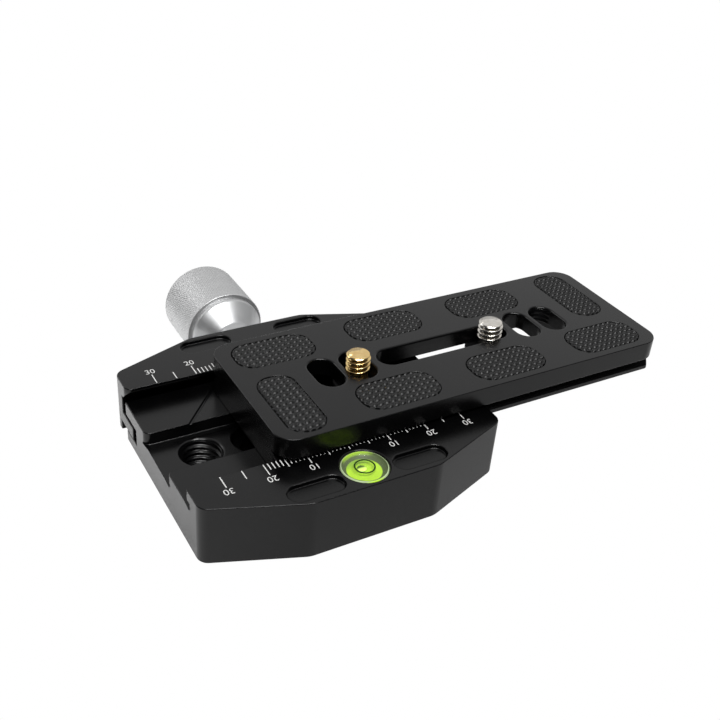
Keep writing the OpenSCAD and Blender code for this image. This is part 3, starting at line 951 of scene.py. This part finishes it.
@dataclass
class StudPad:
    """One rubber pad with a square field of small moulded studs."""

    node: str
    corner_r: float = 4.2
    pitch: float = 1.64
    relief: float = 0.46
    flat: float = 0.08
    slope: float = 0.68
    shift_y: float = 0.4
    border: float = 0.12
    fine_steps: int = 12
    quick_steps: int = 6

    def build(self, rubber: bpy.types.Material) -> None:
        """Builds the pad as a height field inside its rounded outline.

        A grid of shares from -1 to 1 is scaled across by the outline's half width at each x. A stud
        is a dome: its height is one less the square of the distance to its centre, measured from
        its flat top over its slope. Its foot runs straight down to the recess's floor.
        """
        low, high = (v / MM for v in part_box(self.node))
        half_l, half_w = (high.x - low.x) / 2, (high.y - low.y) / 2
        step = self.pitch / self.fine_steps
        rows, columns = int(2 * half_l / step), int(2 * half_w / step)
        ease = np.linspace(-1.0, 1.0, rows)[:, None] * half_l
        inset = np.clip(np.abs(ease) - (half_l - self.corner_r), 0.0, self.corner_r)
        reach = half_w - self.corner_r + np.sqrt(self.corner_r ** 2 - inset ** 2)
        x = np.broadcast_to(ease, (rows, columns))
        y = np.linspace(-1.0, 1.0, columns)[None, :] * reach
        u = np.abs((x / self.pitch + 0.5) % 1.0 - 0.5) * self.pitch
        v = np.abs(((y - self.shift_y) / self.pitch + 0.5) % 1.0 - 0.5) * self.pitch
        away = np.clip(np.hypot(u, v) - self.flat, 0.0, self.slope) / self.slope
        stud = 1.0 - away ** 2
        edge = np.minimum(reach - np.abs(y), half_l - np.abs(x))
        fade = np.clip(edge / self.border, 0.0, 1.0)
        skin = high.z - self.relief
        z = skin + self.relief * stud * fade
        points = np.stack([x, y, z], -1)
        ring = np.pad(points, ((1, 1), (1, 1), (0, 0)), mode="edge")
        foot = np.ones((rows + 2, columns + 2), bool)
        foot[1:-1, 1:-1] = False
        ring[foot, 2] = low.z
        ring[..., 0] += (low.x + high.x) / 2
        ring[..., 1] += (low.y + high.y) / 2
        faces = grid_faces(rows + 2, columns + 2, False, False)
        name = f"{self.node}_studded"
        mesh = mesh_of(name, ring, faces, close=True)
        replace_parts(put(name, mesh, "plate", rubber, smooth=False), self.node)


@dataclass
class SlotThread:
    """Thread ridges left in one round end of a cross slot."""

    name: str
    x: float
    end_y: float
    low_z: float
    high_z: float
    side: float
    wall_r: float = 3.4
    depth: float = 0.28
    pitch: float = 1.27
    clear: float = 0.06
    run_out: float = 0.3
    stand: float = 0.01
    sink: float = 0.03
    side_taper: float = 3.0
    steps: int = 40
    rows_a_turn: int = 10

    def build(self, material: bpy.types.Material) -> None:
        """Builds a half ring of ridges on one end: radius wall_r less a triangle wave of z."""
        rows = int((self.high_z - self.low_z) / self.pitch * self.rows_a_turn)
        z = np.linspace(self.low_z, self.high_z, rows)[:, None]
        angle = np.linspace(self.clear, math.pi - self.clear, self.steps)[None, :]
        wave = triangle_wave(z / self.pitch - self.side * angle / TURN)
        fade = between_ends(z, self.low_z, self.high_z, self.run_out)
        taper = np.clip(np.sin(angle) * self.side_taper, 0.0, 1.0)
        inner = self.wall_r - self.stand - fade * taper * self.depth * wave
        back = np.full((1, self.steps), self.wall_r + self.sink)
        radii = np.concatenate([back, inner, back])
        heights = np.concatenate([z[:1], z, z[-1:]]) * np.ones((1, self.steps))
        points = np.stack([self.x + radii * np.cos(angle),
                           self.side * (self.end_y - self.wall_r + radii * np.sin(angle)),
                           heights], -1)
        faces = grid_faces(rows + 2, self.steps, True, False)
        put(self.name, mesh_of(self.name, points, faces, close=True), "plate", material)


@dataclass
class CameraScrew:
    """A captive quarter-inch camera screw with a rolled thread and a slotted head."""

    node: str
    body: str
    crest_r: float
    root_r: float = 2.25
    neck_r: float = 2.6
    pitch: float = 1.27
    head_h: float = 3.2
    head_r: float = 5.4
    coin_w: float = 1.4
    coin_depth: float = 1.2
    thread_l: float = 4.3
    steepness: float = 1.7
    valley: float = 0.35
    tip_chamfer: float = 0.4
    steps: int = 72
    rows_a_turn: int = 18

    def build(self, material: bpy.types.Material) -> None:
        """Builds the stud and the head.

        The stud's radius goes between root and crest as a rounded triangle wave of z / pitch minus
        the angle in turns; it narrows at the tip. The head is a turned disc cut by a coin slot.
        """
        low, high = (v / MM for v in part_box(self.node))
        centre = ((low.x + high.x) / 2, (low.y + high.y) / 2, 0.0)
        neck = low.z + self.head_h
        tip = high.z
        start = tip - self.thread_l
        rows = int(self.thread_l / self.pitch * self.rows_a_turn)
        z = np.linspace(start, tip - 0.02, rows)[:, None]
        turns = (np.arange(self.steps) / self.steps)[None, :]
        wave = triangle_wave(z / self.pitch - turns) * self.steepness - self.valley
        wave = np.clip(wave, 0.0, 1.0)
        wave = wave * wave * (3.0 - 2.0 * wave)
        radii = self.root_r + (self.crest_r - self.root_r) * wave
        limit = self.crest_r - np.clip(z - (tip - self.tip_chamfer), 0.0, 1.0)
        radii = np.minimum(np.maximum(radii, limit - 0.12 - 9.0 * (tip - z) ** 2), limit)
        head = [
            (0.05, low.z), (self.head_r - 0.3, low.z), (self.head_r, low.z + 0.3),
            (self.head_r, neck - 0.3), (self.head_r - 0.3, neck), (self.neck_r, neck + 0.02),
            (self.neck_r, start - 0.3)
        ]
        crown = [(limit[-1, 0] - 0.12, tip), (0.05, tip)]
        (head_r, head_z), (crown_r, crown_z) = (circles(p, self.steps) for p in (head, crown))
        all_r = np.concatenate([head_r, radii, crown_r])
        all_z = np.concatenate([head_z, z * np.ones((1, self.steps)), crown_z])
        points = turned(all_r, all_z, centre, "z")
        name = f"{self.node}_threaded"
        faces = grid_faces(len(all_r), self.steps, False, True)
        mesh = mesh_of(name, points, faces, close=True)
        self.cut_coin_slot(mesh, centre, low.z)
        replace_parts(put(name, mesh, self.body, material), self.node)

    def cut_coin_slot(self, mesh: bpy.types.Mesh, centre: tuple[float, float, float],
                      foot: float) -> None:
        """Presses the coin slot into the underside of the head.

        Args:
            mesh: The screw's mesh, changed in place.
            centre: The screw's axis.
            foot: Height of the head's underside.
        """
        work = bmesh.new()
        work.from_mesh(mesh)
        for side in (-1.0, 1.0):
            plane = Vector((0.0, (centre[1] + side * self.coin_w / 2) * MM, 0.0))
            bmesh.ops.bisect_plane(work, geom=[*work.verts, *work.edges, *work.faces],
                                   plane_co=plane, plane_no=(0.0, 1.0, 0.0), dist=1e-8)
        inside = [f for f in work.faces
                  if abs(f.calc_center_median().y - centre[1] * MM) < self.coin_w / 2 * MM
                  and f.calc_center_median().z < (foot + 0.02) * MM and f.normal.z < -0.9]
        if inside:
            grown = bmesh.ops.extrude_face_region(work, geom=inside)
            lifted = [g for g in grown["geom"] if isinstance(g, bmesh.types.BMVert)]
            bmesh.ops.translate(work, verts=lifted, vec=(0.0, 0.0, self.coin_depth * MM))
            bmesh.ops.delete(work, geom=inside, context="FACES_ONLY")
        work.to_mesh(mesh)
        work.free()


@dataclass
class Plate:
    """The long camera plate with its pads, slot threads and captive screws."""

    finishes: Finishes
    pads: int = 8
    edge_mm: float = 0.2
    outer_slot_x: float = 33.0
    cross_slot_half: float = 5.9
    web: float = 4.5

    def build(self) -> None:
        """Builds the plate."""
        eased_copy("quick_release_plate", "plate_milled", "plate", self.finishes.black,
                   self.edge_mm)
        for number in range(1, self.pads + 1):
            StudPad(f"pad_{number}").build(self.finishes.rubber)
        low, high = (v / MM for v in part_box("quick_release_plate"))
        middle = (low.x + high.x) / 2
        for word, side in (("left", -1.0), ("right", 1.0)):
            SlotThread(f"slot_thread_{word}", middle + side * self.outer_slot_x,
                       self.cross_slot_half, high.z - self.web + 0.05, high.z - 0.6,
                       side).build(self.finishes.black)
        CameraScrew("brass_screw", "brass_stud", 2.98).build(self.finishes.brass)
        CameraScrew("steel_screw", "steel_stud", 3.14).build(self.finishes.nickel)
        for node in ("brass_screw_washer", "steel_screw_washer"):
            dress(node, self.finishes.nylon)


# The studio


@dataclass
class PhotoCamera:
    """The camera that took the photograph."""

    position: tuple[float, float, float] = (-92.45, -170.89, 151.61)
    azimuth: float = 31.82
    elevation: float = 32.7
    roll: float = 4.76
    focal_px: float = 1000.1
    frame_px: float = 720.0
    sensor_mm: float = 36.0

    def build(self) -> None:
        """Places the camera: it looks along its azimuth and down by its elevation, then rolls."""
        lens = bpy.data.cameras.new("photo_camera")
        lens.sensor_fit = "HORIZONTAL"
        lens.sensor_width = self.sensor_mm
        lens.lens = self.focal_px / self.frame_px * self.sensor_mm
        lens.clip_start = 0.01
        lens.clip_end = 20.0
        lens.dof.use_dof = False
        camera = bpy.data.objects.new("photo_camera", lens)
        bpy.context.scene.collection.objects.link(camera)
        a, e = math.radians(self.azimuth), math.radians(self.elevation)
        ahead = Vector((math.sin(a) * math.cos(e), math.cos(a) * math.cos(e), -math.sin(e)))
        right = Vector((math.cos(a), -math.sin(a), 0.0))
        up = right.cross(ahead)
        tilt = math.radians(self.roll)
        turned_right = right * math.cos(tilt) + up * math.sin(tilt)
        turned_up = up * math.cos(tilt) - right * math.sin(tilt)
        basis = Matrix((turned_right, turned_up, -ahead)).transposed().to_4x4()
        camera.matrix_world = Matrix.Translation(Vector(self.position) * MM) @ basis
        bpy.context.scene.camera = camera


@dataclass
class SoftLight:
    """One large soft light that faces the part."""

    name: str
    place: tuple[float, float, float]
    size: tuple[float, float]
    power: float
    aim: tuple[float, float, float] = (0.02, 0.0, 0.01)

    def build(self) -> None:
        """Hangs the light and turns it to its aim."""
        lamp = bpy.data.lights.new(self.name, "AREA")
        lamp.shape = "RECTANGLE"
        lamp.size, lamp.size_y = self.size
        lamp.energy = self.power
        holder = bpy.data.objects.new(self.name, lamp)
        bpy.context.scene.collection.objects.link(holder)
        holder.location = self.place
        holder.rotation_euler = (Vector(self.aim) - Vector(self.place)).to_track_quat(
            "-Z", "Y").to_euler()


@dataclass
class Studio:
    """Floor and backdrop white to the camera, a painted pool of light on the floor, and soft lights
    round the part.
    """

    floor_z: float = -5.2
    floor_m: float = 30.0
    front: float = 0.02
    back: float = 0.8
    dim_to: float = 0.2
    bright_from: float = 0.7
    towards_back: tuple[float, float, float] = (0.45, 0.72, 0.5)
    # Distances in millimetres over which the floor's painted pool of light fades to dark.
    near_floor: float = 140.0
    far_floor: float = 360.0
    lights: tuple[SoftLight, ...] = (
        SoftLight("top_softbox", (-0.1, -0.45, 0.85), (0.7, 0.25), 12.5),
        SoftLight("back_softbox", (-0.55, 0.7, 0.45), (0.4, 0.3), 1.4),
    )

    def build(self) -> None:
        """Lays the floor, sets the world's light and hangs the lights."""
        self.lay_floor()
        self.set_world()
        for light in self.lights:
            light.build()
        view = bpy.context.scene.view_settings
        view.view_transform = "Standard"
        view.look = "None"

    def lay_floor(self) -> None:
        """A wide floor, white to the camera and clear from below.

        To the lights its paper is a painted pool of light: pale near the part, grey towards the
        front right and dark far away, so what it throws back on the part fades away from it.
        """
        half = self.floor_m / 2 / MM
        points = np.array([[-half, -half, self.floor_z], [half, -half, self.floor_z],
                           [half, half, self.floor_z], [-half, half, self.floor_z]])
        mesh = mesh_of("studio_floor", points, np.array([[0, 1, 2, 3]]))
        graph = Graph("white_floor")
        x, y, _ = graph.axes()
        # Painted pool of light: the paper is pale near the part and dark far from it, and grey
        # towards the front right.
        away = (x * x + y * y).root().ramp(self.near_floor, self.far_floor)
        side = graph.mix((y - x).ramp(-80.0, 120.0), (0.5, 0.5, 0.5), (0.98, 0.98, 0.98))
        tone = graph.mix(away, side, (0.03, 0.03, 0.03))
        paper = graph.add("ShaderNodeBsdfPrincipled", {}, {
            "Base Color": tone, "Roughness": 0.9, "Specular IOR Level": 0.1}, "BSDF")
        glow = graph.add("ShaderNodeEmission", {}, {"Strength": 1.0}, "Emission")
        seen = graph.add("ShaderNodeLightPath", {}, {}, "Is Camera Ray")
        above = graph.add("ShaderNodeMixShader", {}, {0: seen, 1: paper, 2: glow})
        below = graph.add("ShaderNodeNewGeometry", {}, {}, "Backfacing")
        clear = graph.add("ShaderNodeBsdfTransparent")
        both = graph.add("ShaderNodeMixShader", {}, {0: below, 1: above, 2: clear})
        graph.add("ShaderNodeOutputMaterial", {}, {"Surface": both}, None)
        mesh.materials.append(graph.owner)
        floor = bpy.data.objects.new("studio_floor", mesh)
        bpy.context.scene.collection.objects.link(floor)

    def set_world(self) -> None:
        """White to the camera; as a light it is bright behind the part and dim in front of it."""
        graph = Graph("studio_world", bpy.data.worlds)
        way = graph.add("ShaderNodeTexCoord", {}, {}, "Generated")
        share = graph.add("ShaderNodeVectorMath", {"operation": "DOT_PRODUCT"},
                          {0: way, 1: Vector(self.towards_back).normalized()}, "Value")
        light = graph.add("ShaderNodeMapRange", {"interpolation_type": "SMOOTHSTEP"},
                          {"Value": share, "From Min": self.dim_to, "From Max": self.bright_from,
                           "To Min": self.front, "To Max": self.back}, "Result")
        seen = graph.add("ShaderNodeLightPath", {}, {}, "Is Camera Ray")
        strength = graph.add("ShaderNodeMapRange", {},
                             {"Value": seen, "To Min": light, "To Max": 1.0}, "Result")
        backdrop = graph.add("ShaderNodeBackground", {},
                             {"Color": (1.0, 1.0, 1.0, 1.0), "Strength": strength}, "Background")
        graph.add("ShaderNodeOutputWorld", {}, {"Surface": backdrop}, None)
        bpy.context.scene.world = graph.owner


def main() -> None:
    """Loads the frame and builds the part in order."""
    logging.basicConfig(level=logging.INFO, format="%(name)s: %(message)s")
    FRAME.update(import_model())
    PhotoCamera().build()
    finishes = Finishes.make()
    Clamp(finishes).build()
    Knob(finishes).build()
    for side in ("left", "right"):
        ReturnSpring(f"coil_{side}", f"spring_{side}").build(finishes.steel)
    Plate(finishes).build()
    Studio().build()


if __name__ == "__main__":
    main()
